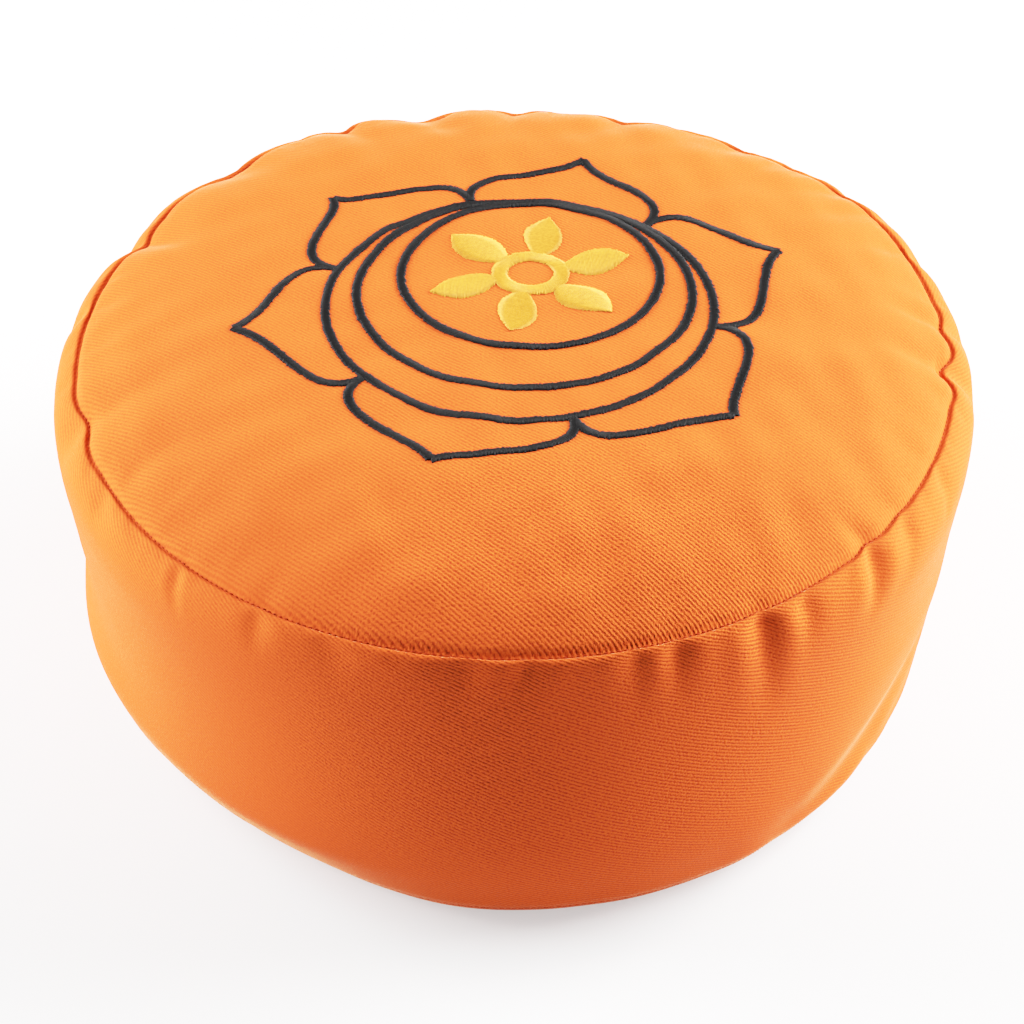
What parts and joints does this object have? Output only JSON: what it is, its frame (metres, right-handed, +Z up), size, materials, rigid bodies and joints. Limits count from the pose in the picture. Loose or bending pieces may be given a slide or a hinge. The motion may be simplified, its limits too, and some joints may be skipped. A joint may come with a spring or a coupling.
{
  "type": "meditation cushion",
  "caption": "Round filled meditation cushion of orange cotton twill, gathered into its seams, with a lotus embroidered on the top panel.",
  "frame": {"origin": "on the floor, under the middle of the cushion", "axes": "+Z up through the crown, -Y towards the front as it stands in the picture, +X to the right"},
  "size_m": [0.3312, 0.3246, 0.1533],
  "materials": {
    "orange_twill": "matte cotton twill, diagonal weave",
    "black_thread": "satin-stitched embroidery thread",
    "yellow_thread": "satin-stitched embroidery thread"
  },
  "bodies": {
    "root": {"cushion": "orange_twill", "lotus_outline": "black_thread", "centre_blossom": "yellow_thread"}
  },
  "joints": []
}
